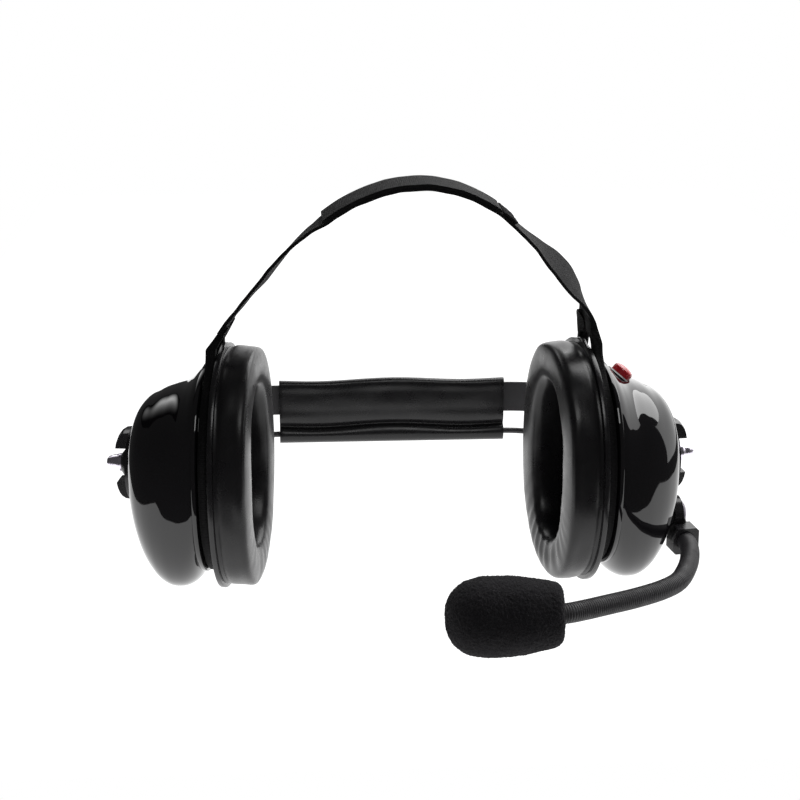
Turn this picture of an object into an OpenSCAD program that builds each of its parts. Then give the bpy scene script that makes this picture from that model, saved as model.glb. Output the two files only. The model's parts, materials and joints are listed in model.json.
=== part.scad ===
// Behind-the-head communication headset: two ear cups on a flat spring band,
// an overhead strap, a gooseneck microphone boom and a push-to-talk button.
// +X is the wearer's left, -Y is forward, +Z is up. The origin is midway between
// the ear cups on the ear axis.

/* [Band] */
// Distance between the two ear seal faces at their middles
face_gap = 129.5; // [124:0.5:140]
// How far each cup is toed out, in degrees
toe = 8.5; // [6:0.1:11]
// Distance of the rear band behind the ear axis
band_y = 101; // [95:1:108]
// Height of the spring strip
strip_h = 15; // [13:0.5:17]
// Thickness of the spring strip
strip_t = 1; // [0.8:0.1:1.4]
// Length of the rear pad's sleeve
sleeve_len = 111; // [100:1:116]

/* [Ear cups] */
// Height of the ear seal
seal_h = 106; // [100:1:110]
// Width of the ear seal
seal_w = 82; // [78:1:86]
// Height of the opening in the ear seal
ear_h = 72; // [66:1:76]
// Width of the opening in the ear seal
ear_w = 44; // [40:1:48]
// Thickness of the dome's plastic wall
wall = 2.5; // [2:0.1:3]

/* [Pivot] */
// Diameter of the pivot hub
hub_d = 32.5; // [30:0.5:34]
// Radius of the pivot stud
stud_r = 2.5; // [2:0.1:3]
// Radial clearance of running fits
fit = 0.05; // [0.02:0.01:0.1]

/* [Overhead strap] */
// Width of the webbing
web_w = 23; // [20:0.5:25]
// Thickness of one layer of webbing
web_t = 1.4; // [1:0.1:2]

/* [Microphone] */
// Diameter of the flexible boom
boom_d = 8.4; // [7:0.1:9]
// Length of the foam windscreen
foam_len = 46.5; // [40:0.5:50]
// Diameter of the foam windscreen
foam_d = 32; // [28:0.5:36]

/* [Push-to-talk button] */
// Diameter of the button's cap
cap_d = 9.5; // [8:0.1:10]
// Inward travel of the button
cap_travel = 1.5; // [1:0.1:2]

/* [Hidden] */
SIDES = ["left", "right"];

$fn = 48;

// Cup stations along the outward axis, measured from the ear seal's face
seal_crown = 2.2;          // how far the soft seal stands proud of the face line
seal_t = 12;               // seal's thickness to its backing plate
plate_t = 2.5;
plate_edge = 1.5;          // how far the plate shows around the seal
groove_x = seal_t + plate_t;
groove_h = 93;             // height and width of the webbing that fills the groove
groove_w = 75;
flange_x = 20;
dome_x = 53;               // the dome's outer face
seat_x = 56.5;             // floor of the hub's channel
strip_x = seat_x + strip_t / 2;
hub_top_x = 62.3;
face_x = face_gap / 2;
gap = 0.3;                 // clearance between bodies that turn past each other

// Pivot hardware on the stud
stud_in = 42.5;            // the stud's inner end
washer_r = 6.25;
washer_t = 2.65;
washer_x = seat_x + strip_t + fit;
nut_r = 4;
nut_x = washer_x + washer_t + fit;
nut_bore = 4;              // how far the stud goes into the acorn nut

// Dome outline: [station, top, bottom, half width], from the collar to the outer face
collar_h = 42;
collar_w = 33;
DOME = [[groove_x, collar_h, -collar_h, collar_w], [flange_x, collar_h, -collar_h, collar_w],
    [flange_x, 46.5, -46.5, 38.5], [22, 46.5, -46.5, 38.5], [22.2, 44, -46.5, 37.5],
    [24, 42, -49.5, 37.8], [27, 38.5, -52.3, 37.8], [31, 36.5, -54, 37.4],
    [36, 35.4, -54, 36.4], [40, 34, -52, 35], [44, 32, -47.5, 33], [47, 30.5, -42.5, 30.8],
    [49.5, 28.3, -36, 28.3], [51.3, 25.5, -29.5, 25.5], [dome_x - 0.5, 22, -23.5, 22.5],
    [dome_x, 18, -17.5, 19]];
straight_in = 24;          // the collar's inside is straight up to this station
inner_face = dome_x - wall;
round_n = 2.2;             // roundness of the ovals: 2 is an ellipse
dome_n = 2.4;
steps = 48;                // points on each oval

// Rear pad and its cable tube
pad_top = 10;
pad_low = -13;
pad_t = 5.2;
skin = 0.9;                // wall of the vinyl sleeve
tube_z = -17.4;
tube_d = 9;
lead_r = 1.4;
hinge_x = sleeve_len / 2;

// Band arm: an arc from the rear pad, then straight along the cup to its stud
stud_c = [face_x + strip_x * cos(toe), strip_x * sin(toe)];
run_x = stud_c[0] - hinge_x;
run_y = band_y - stud_c[1];
arm_r = (run_x * cos(toe) - run_y * sin(toe)) / (1 - sin(toe));
arm_len = (run_y * cos(toe) - run_x * (1 - sin(toe))) / (1 - sin(toe));

// Places in a cup's own frame: X outward, Y rearward, Z up
lead_at = [32, -17];       // X and Z of the side lead's gland
gland_r = 3.5;
inlet_at = [30, 22];       // X and Y of the cord's inlet
inlet_r = 3;
inlet_out_r = 5.5;
button_at = [31.2, 0, 37.6];
button_tilt = 41;
cap_low = -4;              // the button's inner end, along its own axis
bezel_r = 6;
rim_r = 6.7;               // rim of the button's bezel, which lies on the dome
bezel_seat = -1;
switch_w = 6;
switch_t = 3.5;
switch_z = cap_low - 0.3 - cap_travel - switch_t;
swivel_at = [-11, -25];    // Y and Z of the boom's swivel axis
collar_at = [56, -33.2];   // X and Z of the boom's collar
collar_half = 5.9;         // half the side of the collar's square
collar_y = [-26, -17];
base_r = 7;                // boss of the boom's swivel
pin_r = 3;
swivel_x = dome_x + gap;
swivel_t = 4;
boom_cap_r = 5.6;
screw_at = [23.4, 27];     // Y and Z of the plate's four screws, either side of the middle
screw_r = 1.25;
screw_end = groove_x + 4;
loop_bend_z = 55.6;        // the strap's loops lean inward above this height
function loop_lean(side) = side == "left" ? 12 : 34;

// Side lead, from the rear tube to the gland, on the wearer's left
LEAD = [[55.8, 100.5, -17.4], [62, 100.2, -17.4], [69, 98.5, -17.4], [76, 95, -17.4],
    [82, 89.5, -17.4], [86.5, 82, -17.4], [89, 73, -17.3], [90, 64, -17.1],
    [90.6, 54, -17], [90.5, 49.5, -17]];

// Overhead strap's centre line in the X-Z plane, from the wearer's right to left
STRAP = [[-62, 80], [-45, 101], [-34, 110.3], [-20, 118.6], [-6, 123.4], [8, 124.8],
    [22, 122.4], [35, 116.8], [46, 108.8], [55, 99.8], [65, 89.6]];
// Strap legs: [x, y, z], then width, thickness and twist about the leg in degrees
LEFT_LEG = [[47, 0, 107.2], [54.7, 0, 99.6], [64, 0.3, 90.6], [71.5, 0.9, 82],
    [76.8, 1.5, 74.5], [79.8, 2.1, 68]];
LEFT_LEG_FORM = [[23, 1.4, 0], [23, 1.4, 3], [23, 1.4, 14], [23, 1.4, 18], [22.5, 1.4, 14],
    [21.5, 1.6, 10]];
RIGHT_LEG = [[-35.6, 0, 108.6], [-45, 0, 101], [-53.4, 0.2, 92.4], [-61.6, 0.6, 82],
    [-68.6, 1.1, 73.8], [-75.2, 1.6, 67.4]];
RIGHT_LEG_FORM = [[23, 1.4, 3], [23, 1.4, 6], [23, 1.4, 10], [23, 1.4, 11], [22.5, 1.4, 6],
    [21.5, 1.6, -2]];

// Flexible boom, from the collar to the microphone, and the point where its halves meet
BOOM = [[123.1, -11.5, -33.2], [124, -17.4, -33.2], [123.8, -25, -33.6], [121.8, -35, -34.5],
    [118, -46, -35], [110.2, -61.3, -34.8], [103.4, -68.3, -34.5], [92, -76.3, -34.2],
    [77, -85, -33.6], [66, -91, -33.2], [60, -94, -32.9], [57, -94.9, -32.8]];
boom_meet = 5;
boom_steps = 4;
mic_at = [34, -95, -33.2];
mic_pitch = 1;             // the microphone's axis dips a little towards its tip

// ---------------------------------------------------------------- helpers

function spow(v, e) = sign(v) * pow(abs(v), e);

// One ring of points on an oval, in a plane across the X axis
function oval_ring(x, top, bottom, half_w, n) = [for (i = [0 : steps - 1])
    let (a = 360 * i / steps, mid = (top + bottom) / 2, half_h = (top - bottom) / 2)
    [x, half_w * spow(cos(a), 2 / n), mid + half_h * spow(sin(a), 2 / n)]];

function oval_2d(h, w, n = round_n) = [for (i = [0 : steps - 1]) let (a = 360 * i / steps)
    [h / 2 * spow(sin(a), 2 / n), w / 2 * spow(cos(a), 2 / n)]];

// Triangles joining two rings of m points that start at indices a and b
function band_faces(a, b, m) = [for (i = [0 : m - 1]) let (j = (i + 1) % m)
    each [[a + i, b + i, b + j], [a + i, b + j, a + j]]];
function fan(c, a, m) = [for (i = [0 : m - 1]) [c, a + i, a + (i + 1) % m]];
function fan_back(c, a, m) = [for (i = [0 : m - 1]) [c, a + (i + 1) % m, a + i]];

// A solid through a row of rings, closed at both ends by fans
module loft(rings) {
    m = len(rings[0]);
    last = len(rings) - 1;
    middle = [for (k = [0, last]) [for (c = [0 : 2]) sum([for (p = rings[k]) p[c]]) / m]];
    points = [for (r = rings) each r, middle[0], middle[1]];
    faces = [each [for (k = [0 : last - 1]) each band_faces(k * m, (k + 1) * m, m)],
        each fan((last + 1) * m, 0, m), each fan_back((last + 1) * m + 1, last * m, m)];
    polyhedron(points, faces, convexity = 6);
}

// A ring-shaped solid through a closed row of rings
module loop_loft(rings) {
    m = len(rings[0]);
    k_n = len(rings);
    faces = [for (k = [0 : k_n - 1]) each band_faces(k * m, ((k + 1) % k_n) * m, m)];
    polyhedron([for (r = rings) each r], faces, convexity = 8);
}

function sum(v, i = 0) = i >= len(v) ? 0 : v[i] + sum(v, i + 1);
function unit(v) = v / norm(v);

// A smooth curve through points, with a few steps between each two
function spline(p, n) = [for (i = [0 : len(p) - 2]) for (s = [0 : n - 1])
    let (t = s / n, a = p[max(i - 1, 0)], b = p[i], c = p[i + 1],
        d = p[min(i + 2, len(p) - 1)])
    0.5 * (2 * b + (c - a) * t + (2 * a - 5 * b + 4 * c - d) * t * t
        + (3 * b - a - 3 * c + d) * t * t * t), p[len(p) - 1]];
function heading(p, i) = unit(p[min(i + 1, len(p) - 1)] - p[max(i - 1, 0)]);

// A round tube along points, or along the part of them from one index to another
module tube(p, r, sides, first = 0, last = -1) {
    loft([for (i = [first : last < 0 ? len(p) - 1 : last]) let (d = heading(p, i),
        u = unit(cross(d, [0, 0, 1])), v = cross(u, d))
        [for (k = [0 : sides - 1]) let (a = 360 * (k + 0.5) / sides)
        p[i] + r * (u * cos(a) + v * sin(a))]]);
}

// A flat ribbon along points, with a width, thickness and twist at each
module ribbon(p, form) {
    loft([for (i = [0 : len(p) - 1]) let (d = heading(p, i), f = form[i],
        s = unit(cross(d, unit(cross([0, 1, 0], d)))), n = cross(d, s),
        w = s * cos(f[2]) + n * sin(f[2]), o = n * cos(f[2]) - s * sin(f[2]))
        [for (c = [[-1, -1], [1, -1], [1, 1], [-1, 1]])
        p[i] + w * c[0] * f[0] / 2 + o * c[1] * f[1] / 2]]);
}

// Places the children in a cup's own frame
module on_cup(side) {
    mirror([side == "left" ? 0 : 1, 0, 0]) translate([face_x, 0, 0]) rotate([0, 0, toe])
        children();
}

// A round piece along the cup's outward axis, from one station to another
module disc(x0, x1, r) {
    translate([x0, 0, 0]) rotate([0, 90, 0]) cylinder(h = x1 - x0, r = r);
}

// A flat plate across the outward axis
module slab(x0, x1) {
    translate([x0, 0, 0]) rotate([0, 90, 0]) linear_extrude(x1 - x0) mirror([1, 0, 0])
        children();
}

// Places in a cup's frame: each puts the children where that piece goes
module at_button() {
    translate(button_at) rotate([0, button_tilt, 0]) children();
}
module at_lead() {
    translate([lead_at[0], 0, lead_at[1]]) rotate([-90, 0, 0]) children();
}
module at_inlet() {
    translate([inlet_at[0], inlet_at[1], 0]) children();
}
module at_swivel() {
    translate([0, swivel_at[0], swivel_at[1]]) children();
}
module at_screws() {
    for (y = [-1, 1]) for (z = [-1, 1])
        translate([0, y * screw_at[0], z * screw_at[1]]) children();
}

// ---------------------------------------------------------------- rear band

module band_center() color("dimgray")
    translate([-hinge_x, band_y - strip_t / 2, -strip_h / 2])
        cube([sleeve_len, strip_t, strip_h]);

// Vinyl sleeve: a flat pocket for the spring and its pad, and a cable tube under it
module band_sleeve() color([0.09, 0.09, 0.1]) {
    front = band_y + strip_t / 2 + skin + 0.1 - pad_t;
    inner_h = pad_top - pad_low - 2 * skin;
    translate([hinge_x, 0, 0]) rotate([0, -90, 0]) linear_extrude(sleeve_len) difference() {
        union() {
            translate([pad_low + 1, front + 1]) offset_box(pad_top - pad_low - 2, pad_t - 2, 1);
            translate([tube_z, band_y - 0.5]) circle(d = tube_d);
            translate([pad_low - 2, band_y - 1.6]) square([3, 2.2]);
        }
        translate([pad_low + skin, front + skin]) square([inner_h, pad_t - 2 * skin]);
        translate([tube_z, band_y - 0.5]) circle(d = tube_d - 2 * skin);
    }
}

// A rectangle with rounded corners, from arcs
module offset_box(a, b, r) {
    union() {
        translate([-r, 0]) square([a + 2 * r, b]);
        translate([0, -r]) square([a, b + 2 * r]);
        for (x = [0, a]) for (y = [0, b]) translate([x, y]) circle(r = r);
    }
}

// Thin pad in the sleeve, in front of the spring
module band_foam() color([0.2, 0.2, 0.22]) {
    inset = 4;
    foam_t = 2.2;
    foam_h = 17.6;
    translate([-hinge_x + inset, band_y - strip_t / 2 - fit - foam_t, -foam_h / 2])
        cube([sleeve_len - 2 * inset, foam_t, foam_h]);
}

module center_lead() color([0.12, 0.12, 0.12])
    translate([-hinge_x, band_y - 0.5, tube_z]) rotate([0, 90, 0])
        cylinder(h = sleeve_len, r = lead_r);

// ---------------------------------------------------------------- pivot and arm

module band_arm(side) color([0.08, 0.08, 0.08]) mirror([side == "left" ? 0 : 1, 0, 0]) {
    slit = 0.3;
    translate([hinge_x, band_y - arm_r, 0]) rotate([0, 0, toe])
        rotate_extrude(angle = 90 - toe - slit, $fn = 180)
            translate([arm_r - strip_t / 2, -strip_h / 2]) square([strip_t, strip_h]);
    translate([face_x, 0, 0]) rotate([0, 0, toe]) difference() {
        union() {
            translate([seat_x, 0, -strip_h / 2]) cube([strip_t, arm_len + 0.2, strip_h]);
            disc(seat_x, seat_x + strip_t, strip_h / 2);
        }
        disc(seat_x - 1, seat_x + strip_t + 1, stud_r + fit);
    }
}

// Round plate with a rounded lug above and below the strip, which lies between them
module pivot_hub(side) color([0.06, 0.06, 0.06]) on_cup(side) difference() {
    base_x = dome_x + gap;
    rise = hub_top_x - base_x;
    rim = 2.4;             // straight edge of the lugs before their crown
    top_r = 7;
    bow = 0.72;            // how full the crown is
    lug_w = 11;
    channel = strip_h + 1;
    union() {
        disc(base_x, base_x + rim, hub_d / 2);
        intersection() {
            translate([base_x, 0, 0]) rotate([0, 90, 0]) rotate_extrude() polygon([
                [0, 0], [hub_d / 2, 0], for (a = [0 : 15 : 75])
                [top_r + (hub_d / 2 - top_r) * cos(a), rim + (rise - rim) * pow(sin(a), bow)],
                [top_r, rise], [0, rise]]);
            translate([base_x, -lug_w / 2, -hub_d]) cube([rise, lug_w, 2 * hub_d]);
        }
    }
    disc(base_x - 1, hub_top_x + 1, stud_r + fit);
    translate([seat_x - fit, -hub_d, -channel / 2]) cube([20, 2 * hub_d, channel]);
}

module pivot_stud(side) color("silver") on_cup(side)
    disc(stud_in, nut_x + nut_bore, stud_r);

module pivot_washer(side) color([0.07, 0.07, 0.07]) on_cup(side) difference() {
    translate([washer_x, 0, 0]) rotate([0, 90, 0]) rotate_extrude() polygon([
        [stud_r + fit, 0], [washer_r, 0], [washer_r, 0.9], [5.6, 1.7], [4.4, washer_t],
        [stud_r + fit, washer_t]]);
}

// Closed conical nut
module acorn_nut(side) color("gainsboro") on_cup(side) difference() {
    translate([nut_x, 0, 0]) rotate([0, 90, 0]) rotate_extrude() polygon([
        [0, 0], [nut_r, 0], [nut_r, 1.3], [3.6, 2.2], [3.1, 4.6], [2.6, 5.9], [1.6, 6.8],
        [0, 6.95]]);
    disc(nut_x - 1, nut_x + nut_bore + fit, stud_r + fit);
}

// Locking nut on the stud, inside the dome
module lock_nut(side) color("silver") on_cup(side) difference() {
    translate([stud_in + 1, 0, 0]) rotate([0, 90, 0]) cylinder(h = 4, r = 4.6, $fn = 6);
    disc(stud_in, stud_in + 6, stud_r + fit);
}

// ---------------------------------------------------------------- ear cups

function station(d, inset) = oval_ring(d[0], d[1] - inset, d[2] + inset, d[3] - inset,
    dome_n);
// The inside follows the outside one wall in, and its steps are kept off the collar
DOME_IN = [[groove_x, collar_h, -collar_h, collar_w],
    [straight_in, collar_h, -collar_h, collar_w],
    for (d = DOME) if (d[0] > straight_in + 2 && d[0] < inner_face) d,
    [inner_face, 22, -24, 24]];

// Moulded shell with a boss for each of the plate's screws
module dome(side) color([0.02, 0.02, 0.02]) on_cup(side) difference() {
    union() {
        shell();
        at_screws() disc(groove_x, flange_x - 0.5, 3);
    }
    disc(dome_x - 2 * wall, dome_x + 1, stud_r + fit);
    at_lead() translate([0, 0, 20]) cylinder(h = 30, r = gland_r + fit);
    at_screws() disc(groove_x - 1, screw_end + fit, screw_r + fit);
    if (side == "left") {
        at_button() translate([0, 0, -9]) cylinder(h = 20, r = bezel_r + fit);
        at_button() translate([0, 0, bezel_seat - fit]) cylinder(h = 10, r = rim_r + fit);
        at_inlet() translate([0, 0, -60]) cylinder(h = 30, r = inlet_out_r + fit);
        at_swivel() disc(36, 60, base_r + fit);
    }
}

module shell() {
    outer = [for (d = DOME) station(d, 0)];
    inner = [for (d = DOME_IN) station(d, wall)];
    m = steps;
    a_n = len(outer);
    b_n = len(inner);
    points = [for (r = outer) each r, for (r = inner) each r, [dome_x, 0, 0],
        [inner_face, 0, 0]];
    faces = [
        for (k = [0 : a_n - 2]) each band_faces((k + 1) * m, k * m, m),
        each fan((a_n + b_n) * m, (a_n - 1) * m, m),
        for (k = [0 : b_n - 2]) each band_faces((a_n + k) * m, (a_n + k + 1) * m, m),
        each fan_back((a_n + b_n) * m + 1, (a_n + b_n - 1) * m, m),
        each band_faces(0, a_n * m, m)];
    polyhedron(points, [for (f = faces) [f[2], f[1], f[0]]], convexity = 10);
}

module seal_plate(side) color([0.05, 0.05, 0.05]) on_cup(side) difference() {
    slab(seal_t, groove_x) difference() {
        union() {
            polygon(oval_2d(seal_h + 2 * plate_edge, seal_w + 2 * plate_edge));
            for (z = [-1, 1]) translate([z * seal_h / 2, 0]) square([5.2, 8], center = true);
        }
        polygon(oval_2d(ear_h + 2, ear_w + 2));
    }
    at_screws() disc(seal_t - 1, groove_x + 1, screw_r + fit);
}

// Soft ring against the head, rounded on its inner and outer edges
module ear_seal(side) color([0.1, 0.1, 0.11]) on_cup(side) {
    rim = (seal_h - ear_h) / 4;
    mid_h = (seal_h + ear_h) / 4;
    mid_w = (seal_w + ear_w) / 4;
    wide = (seal_w - ear_w) / 4;
    section = [[-1, seal_t], [1, seal_t], [1, 3], [0.93, 0.6], [0.7, -1.1], [0.35, -1.9],
        [0, -seal_crown], [-0.4, -1.8], [-0.75, -0.8], [-1, 1.6]];
    loop_loft([for (c = section) oval_ring(c[1], mid_h + c[0] * rim, -mid_h - c[0] * rim,
        mid_w + c[0] * wide, round_n)]);
}

// Sound-absorbing foam behind the ear opening
module ear_foam(side) color([0.14, 0.14, 0.14]) on_cup(side) difference() {
    slab(flange_x + 0.5, flange_x + 4.5) polygon(oval_2d(76, 58));
    switch_room(side);
}

module speaker_bracket(side) color([0.15, 0.15, 0.15]) on_cup(side) difference() {
    slab(flange_x + 4.6, flange_x + 6.4) difference() {
        polygon(oval_2d(64, 58));
        circle(r = 16.5);
    }
    switch_room(side);
}

// Clearance round the talk switch and below the button, in the cup that has them
module switch_room(side) {
    if (side == "left") at_button() {
        translate([0, 0, switch_z - gap]) centred_box(switch_w + 2 * gap, switch_t + 2 * gap);
        translate([0, 0, cap_low - cap_travel - gap]) cylinder(h = 9, r = bezel_r + gap);
    }
}

// A square box centred on the Z axis, rising from Z zero
module centred_box(w, h) {
    translate([-w / 2, -w / 2, 0]) cube([w, w, h]);
}

module speaker_frame(side) color([0.3, 0.3, 0.32]) on_cup(side)
    translate([flange_x + 6.5, 0, 0]) rotate([0, 90, 0]) rotate_extrude() polygon([
        [20, 0], [20, 1.2], [14, 6], [14, 7], [9, 7], [9, 6], [13, 5], [18, 1.2], [18, 0]]);

module speaker_cone(side) color([0.1, 0.1, 0.1]) on_cup(side)
    translate([flange_x + 6.6, 0, 0]) rotate([0, 90, 0]) rotate_extrude() polygon([
        [0, 4], [5, 4], [16.5, 0], [17.6, 0], [17.6, 0.6], [16.8, 0.6], [5.2, 4.6], [0, 4.6]]);

module speaker_magnet(side) color("silver") on_cup(side)
    disc(flange_x + 13.6, flange_x + 19.5, 10);

// Webbing loop round the cup, in the groove. Its ends rise to a teardrop at the top,
// which stands upright past the seal's plate and leans inward above it.
module strap_loop(side) color([0.16, 0.16, 0.17]) on_cup(side) {
    top = loop_bend_z;
    slab(groove_x + gap, flange_x - gap) difference() {
        union() {
            polygon(oval_2d(groove_h, groove_w));
            polygon([[34, -23], [42, -17], [50, -13], [top, -11.8], [top, 11.8], [50, 13],
                [42, 17], [34, 23]]);
        }
        polygon(oval_2d(2 * (collar_h + gap), 2 * (collar_w + gap), dome_n));
        polygon([[46.9, -9], [51, -8], [top + 1, -7.2], [top + 1, 7.2], [51, 8], [46.9, 9]]);
    }
    translate([groove_x + gap, 0, top - 0.4]) rotate([0, -loop_lean(side), 0]) slab(0, 4.4)
        difference() {
            polygon([[0, -11.8], [6, -11], [10.5, -10.8], [10.5, 10.8], [6, 11], [0, 11.8]]);
            polygon([[-1, -7.2], [3, -6], [6.5, -2], [6.5, 2], [3, 6], [-1, 7.2]]);
        }
}

// Four screws that hold the seal's plate to the dome's collar
module plate_screws(side) color("silver") on_cup(side)
    at_screws() disc(seal_t, screw_end, screw_r);

module lead_gland(side) color([0.12, 0.12, 0.12]) on_cup(side) at_lead() difference() {
    union() {
        translate([0, 0, 30]) cylinder(h = 9, r = gland_r);
        translate([0, 0, 38]) cylinder(h = 5, r1 = gland_r - 0.1, r2 = 2.4);
    }
    translate([0, 0, 29]) cylinder(h = 15, r = lead_r + fit);
}

module lead(side) color([0.12, 0.12, 0.12]) mirror([side == "left" ? 0 : 1, 0, 0]) {
    in_gland = [for (y = [45, 43, 31]) [face_x + lead_at[0] * cos(toe) - y * sin(toe),
        lead_at[0] * sin(toe) + y * cos(toe), lead_at[1]]];
    tube([each spline(LEAD, 3), each in_gland], lead_r, 8);
}

// ---------------------------------------------------------------- overhead strap

// The part of the strap's centre line between two places across the head
function strap_part(x0, x1) = [for (p = spline(STRAP, 8)) if (p[0] >= x0 && p[0] <= x1) p];
function side_of(p, i) = let (d = heading(p, i)) [-d[1], d[0]];

module layer(x0, x1, low, high, w) {
    p = strap_part(x0, x1);
    m = len(p);
    outline = [for (i = [0 : m - 1]) p[i] + side_of(p, i) * high,
        for (i = [m - 1 : -1 : 0]) p[i] + side_of(p, i) * low];
    translate([0, w / 2, 0]) rotate([90, 0, 0]) linear_extrude(w) polygon(outline);
}

module strap_under_layer() color([0.16, 0.16, 0.17]) layer(-34.6, 46, -web_t, 0, web_w);
module strap_top_layer() color([0.14, 0.14, 0.15]) layer(-34.6, 40, 0.05, web_t, web_w + 0.6);
module strap_hook_patch() color([0.2, 0.2, 0.2]) layer(40.2, 46, 0.05, 1.2, web_w - 1);

module left_strap_leg() color([0.16, 0.16, 0.17]) ribbon(LEFT_LEG, LEFT_LEG_FORM);
module right_strap_leg() color([0.16, 0.16, 0.17]) ribbon(RIGHT_LEG, RIGHT_LEG_FORM);

// ---------------------------------------------------------------- talk button

module talk_button() color("firebrick") on_cup("left") at_button()
    rotate_extrude() polygon([[0, cap_low], [cap_d / 2, cap_low], [cap_d / 2, 2.6],
        for (a = [15 : 15 : 75]) [cap_d / 2 * cos(a), 2.6 + 2 * sin(a)], [0, 4.6]]);

module talk_bezel() color([0.05, 0.05, 0.05]) on_cup("left") at_button()
    rotate_extrude() polygon([[cap_d / 2 + fit, cap_low], [bezel_r, cap_low],
        [bezel_r, bezel_seat], [rim_r, bezel_seat], [rim_r, bezel_seat + 0.7],
        [rim_r - 0.8, bezel_seat + 1.3], [cap_d / 2 + fit, bezel_seat + 1.3]]);

module talk_switch() color([0.2, 0.2, 0.2]) on_cup("left") at_button()
    translate([0, 0, switch_z]) centred_box(switch_w, switch_t);

module circuit_board() color("darkgreen") on_cup("left")
    translate([flange_x + 6.8, -17, -44]) cube([1.6, 32, 20]);

// ---------------------------------------------------------------- cord inlet

module cord_inlet_gland() color([0.1, 0.1, 0.1]) on_cup("left") at_inlet()
    translate([0, 0, -50]) difference() {
        cylinder(h = 10, r = inlet_out_r);
        translate([0, 0, -1]) cylinder(h = 12, r = inlet_r);
    }

// ---------------------------------------------------------------- microphone boom

// Boss let into the dome, with the swivel's pin
module boom_base() color([0.06, 0.06, 0.06]) on_cup("left") at_swivel() {
    disc(42, dome_x, base_r);
    disc(dome_x - 1, swivel_x + 5.5, pin_r);
}

// A square with cut corners
module cut_square(half, corner) {
    inner = half - corner;
    polygon([[half, -inner], [half, inner], [inner, half], [-inner, half], [-half, inner],
        [-half, -inner], [-inner, -half], [inner, -half]]);
}

// The room that the dome's outside takes up, seen from the swivel as it swings
module dome_sweep() {
    near = [for (d = DOME) if (d[0] > 30) station(d, -gap)];
    for (a = [-30 : 10 : 50]) at_swivel() rotate([a, 0, 0])
        translate([gap - fit, -swivel_at[0], -swivel_at[1]]) loft(near);
}

// Disc that turns on the pin, with a square collar that holds the boom
module boom_swivel_block() color([0.06, 0.06, 0.06]) on_cup("left") difference() {
    union() {
        at_swivel() disc(swivel_x, swivel_x + swivel_t, 8);
        hull() {
            at_swivel() disc(swivel_x, swivel_x + swivel_t, 6, $fn = 32);
            translate([collar_at[0], collar_y[1] + 3, collar_at[1]]) rotate([90, 0, 0])
                cylinder(h = 5, r = 4.5, $fn = 32);
        }
        translate([collar_at[0], collar_y[1], collar_at[1]]) rotate([90, 0, 0])
            linear_extrude(collar_y[1] - collar_y[0]) cut_square(collar_half, 1.2);
    }
    at_swivel() disc(swivel_x - 1, swivel_x + 9, pin_r + fit);
    at_swivel() disc(swivel_x + swivel_t, swivel_x + 14, boom_cap_r + 0.4);
    at_swivel() disc(dome_x - 4, swivel_x, base_r + 0.4);
    dome_sweep();
    translate([collar_at[0], collar_y[1] - 2.6, collar_at[1]]) rotate([90, 0, 0])
        cylinder(h = 20, r = boom_d / 2 + 0.1);
}

// Cap pressed on the pin, which keeps the swivel on
module boom_pivot_cap() color([0.3, 0.3, 0.3]) on_cup("left") at_swivel() difference() {
    translate([swivel_x + swivel_t + gap, 0, 0]) rotate([0, 90, 0]) rotate_extrude() polygon([
        [0, 0], [boom_cap_r, 0], [boom_cap_r, 1.2], [boom_cap_r - 0.8, 1.9], [0, 2.3]]);
    disc(swivel_x, swivel_x + 5.5 + fit, pin_r + fit);
}

// The boom's centre line, with a gap where its two halves meet
boom_line = spline(BOOM, boom_steps);
meet = boom_meet * boom_steps;
boom_path = [for (i = [0 : meet - 1]) boom_line[i],
    for (s = [-1, 1]) boom_line[meet] + s * gap * heading(boom_line, meet),
    for (i = [meet + 1 : len(boom_line) - 1]) boom_line[i]];

module gooseneck_root() color([0.15, 0.15, 0.15])
    tube(boom_path, boom_d / 2, 12, 0, meet);
module gooseneck_tip() color([0.15, 0.15, 0.15])
    tube(boom_path, boom_d / 2, 12, meet + 1);

module at_mic() {
    translate(mic_at) rotate([0, -90 - mic_pitch, 0]) children();
}

// Microphone body inside the foam, with a socket for the boom's end
module mic_housing() color([0.07, 0.07, 0.07]) at_mic() difference() {
    rotate_extrude() polygon([[0, -24], [5.4, -24], [6.4, -22], [6.4, -8], [7.4, -6],
        [7.4, 9], [6.2, 10], [0, 10]]);
    translate([0, 0, 4]) cylinder(h = 10, r = 5 + fit);
    translate([0, 0, -30]) cylinder(h = 14, r = boom_d / 2 + 0.6);
}

module mic_capsule() color("silver") at_mic() translate([0, 0, 4.2]) cylinder(h = 5, r = 5);

// Foam over the microphone: a barrel with a round tip that tapers towards the boom
module windscreen() color([0.09, 0.09, 0.09]) at_mic() rotate_extrude() {
    half = foam_len / 2;
    widest = 6;            // where the barrel is fullest, measured from its middle
    full = 2.4;            // squareness of its rounded tip
    r = foam_d / 2;
    polygon([[7.6, -half], [0.66 * r, -half], [0.77 * r, 0.7 - half], [0.83 * r, 2.6 - half],
        [0.89 * r, 7 - half], [0.95 * r, 13 - half], [0.985 * r, 20 - half],
        for (a = [0 : 10 : 80])
        [r * spow(cos(a), 2 / full), widest + (half - widest) * spow(sin(a), 2 / full)],
        [0, half], [0, 12], [7.6, 11]]);
}

// ---------------------------------------------------------------- assembly

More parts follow.
